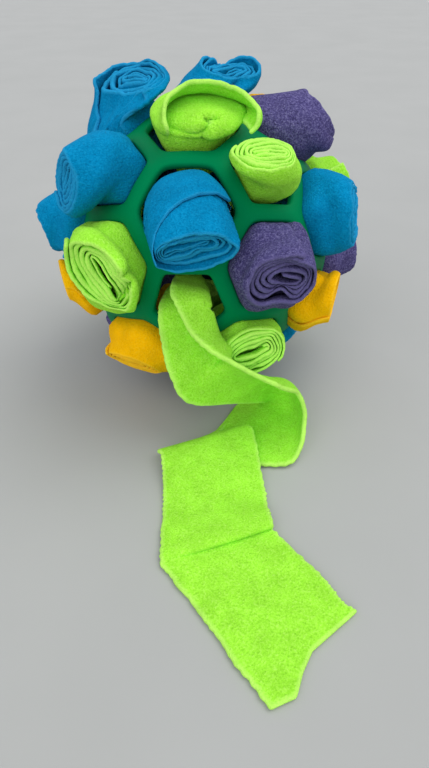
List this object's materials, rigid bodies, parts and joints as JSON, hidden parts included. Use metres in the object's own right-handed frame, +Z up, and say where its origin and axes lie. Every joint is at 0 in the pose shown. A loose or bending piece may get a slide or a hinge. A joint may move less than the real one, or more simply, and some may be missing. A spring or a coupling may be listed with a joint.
{
  "type": "snuffle ball",
  "caption": "Moulded rubber lattice ball with rolled fleece strips pushed into its holes to hide treats, one strip pulled out onto the table.",
  "frame": {"origin": "centre of the whole object's footprint, on the surface it rests on; the ball stands behind it and the loose strip's end lies in front", "axes": "+Z up, -Y to the front, where the loose strip lies, +X to the viewer's right"},
  "size_m": [0.189, 0.329, 0.1803],
  "materials": {
    "green_rubber": "satin",
    "lime_fleece": "matt brushed pile",
    "blue_fleece": "matt brushed pile",
    "purple_fleece": "matt brushed pile",
    "yellow_fleece": "matt brushed pile"
  },
  "bodies": {
    "root": {"lattice_ball": "green_rubber", "loose_strip": "lime_fleece", "roll_front": "blue_fleece", "roll_top": "lime_fleece", "roll_right_shoulder": "lime_fleece", "roll_lower_right": "purple_fleece", "roll_lower_left": "lime_fleece", "roll_left_shoulder": "blue_fleece", "roll_top_left": "blue_fleece", "roll_top_back": "blue_fleece", "roll_top_right": "purple_fleece", "roll_right": "blue_fleece", "roll_left": "blue_fleece", "roll_low_front_right": "lime_fleece", "roll_low_front_left": "yellow_fleece", "roll_low_left": "yellow_fleece", "roll_low_right": "yellow_fleece", "roll_right_back": "purple_fleece", "roll_back_right_shoulder": "lime_fleece", "roll_back_top_right": "yellow_fleece", "roll_back_top_left": "purple_fleece", "roll_back_left_shoulder": "lime_fleece", "roll_back": "blue_fleece", "roll_back_right": "blue_fleece", "roll_back_left": "lime_fleece", "roll_low_back_left": "blue_fleece", "roll_low_back_right": "lime_fleece", "roll_low_back": "purple_fleece", "roll_low_back_far_left": "yellow_fleece", "roll_under_left": "purple_fleece", "roll_under_right": "blue_fleece", "roll_under_front": "purple_fleece", "roll_under": "lime_fleece"}
  },
  "joints": []
}
